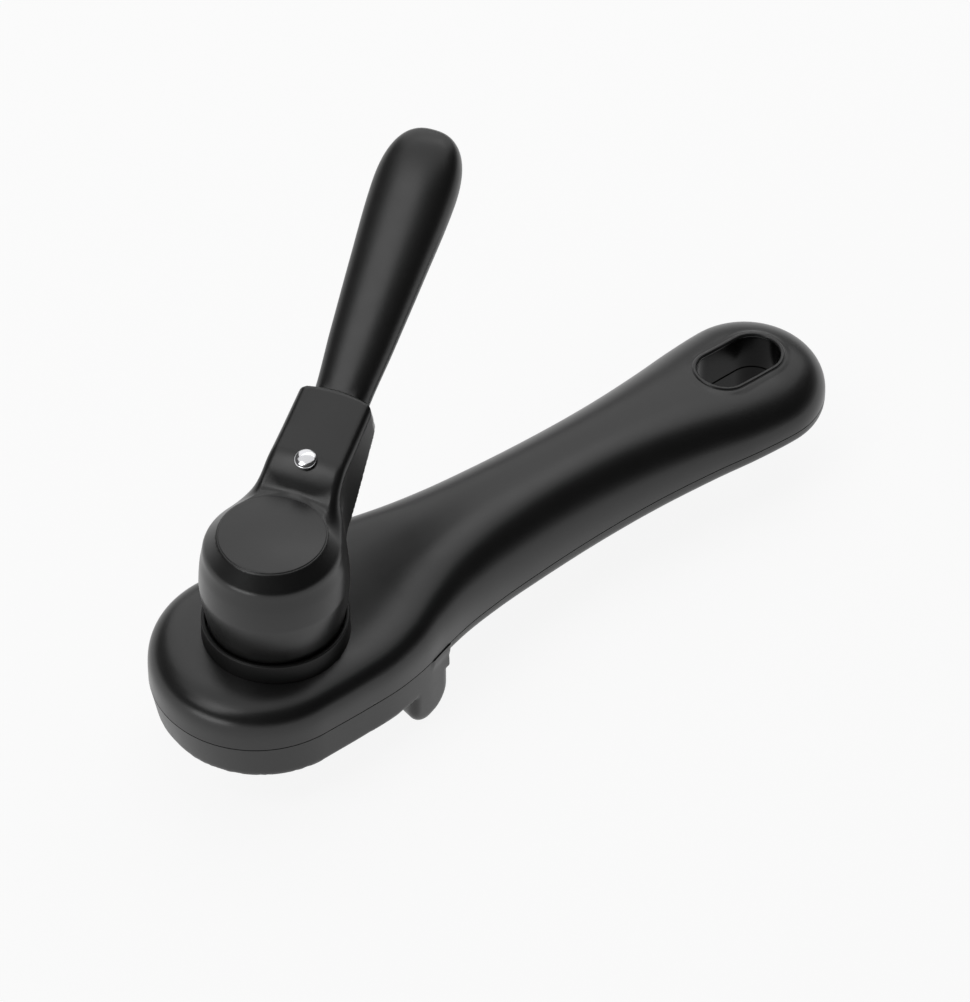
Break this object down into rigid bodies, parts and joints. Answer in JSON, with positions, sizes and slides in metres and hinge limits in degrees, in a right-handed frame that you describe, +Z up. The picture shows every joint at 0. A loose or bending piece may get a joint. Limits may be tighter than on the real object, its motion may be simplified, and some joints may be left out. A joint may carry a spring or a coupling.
{
  "type": "manual can opener",
  "caption": "Hand-held can opener with a curved handle, a round head over a toothed feed wheel and a cutting wheel, and a turning crank with a paddle grip.",
  "frame": {"origin": "on the crank axis, at the flat underside of the head that lies on the can's rim", "axes": "+X along the handle towards its hanging slot, +Z up along the crank axis towards the crank, +Y to the left of the handle"},
  "size_m": [0.2173, 0.0879, 0.1229],
  "materials": {
    "black_shell": "satin moulded black plastic",
    "black_collar": "satin moulded black plastic, a little darker",
    "black_grip": "soft satin black plastic",
    "bright_rivet": "polished",
    "blade_steel": "ground hardened steel",
    "wheel_steel": "sintered toothed steel",
    "zinc_screw": "zinc plated",
    "plate_steel": "pressed and turned steel",
    "bush_brass": "turned",
    "inner_plastic": "natural moulded plastic",
    "friction_rubber": "matte"
  },
  "bodies": {
    "housing": {"upper_housing": "black_shell", "lower_housing": "black_shell", "housing_screws": "zinc_screw", "bearing_plate": "plate_steel", "shaft_bush": "bush_brass", "slide_rails": "plate_steel", "shaft_collar": "black_collar"},
    "crank": {"drive_shaft": "plate_steel", "feed_wheel": "wheel_steel", "feed_screw": "wheel_steel", "cam_clip": "zinc_screw", "friction_washer": "friction_rubber", "crank_hub": "black_shell", "hub_cap": "black_shell", "hub_washer": "zinc_screw", "hub_screw": "zinc_screw", "crank_grip": "black_grip", "grip_rivet": "bright_rivet"},
    "cam": {"cam_disc": "inner_plastic"},
    "carriage": {"cutter_slide": "plate_steel", "follower_pin": "plate_steel", "cutter_axle": "plate_steel", "cutter_sleeve": "plate_steel", "axle_clip": "zinc_screw"},
    "cutter": {"cutting_wheel": "blade_steel"}
  },
  "joints": [
    {"name": "crank_turn", "type": "hinge", "parent": "housing", "child": "crank", "pos_m": [0, 0, 0], "axis": [0, 0, 1], "continuous": true},
    {"name": "cam_turn", "type": "hinge", "parent": "housing", "child": "cam", "pos_m": [0, 0, 0.0097], "axis": [0, 0, -1], "range_deg": [0, 110]},
    {"name": "carriage_slide", "type": "slide", "parent": "housing", "child": "carriage", "axis": [1, 0, 0], "range_m": [0, 0.00421]},
    {"name": "cutter_spin", "type": "hinge", "parent": "carriage", "child": "cutter", "pos_m": [-0.0194, 0, -0.0065], "axis": [0, 0, 1], "continuous": true}
  ],
  "couplings": [
    {"joint": "carriage_slide", "follows": "cam_turn", "m_per_rad": 0.0021877}
  ]
}
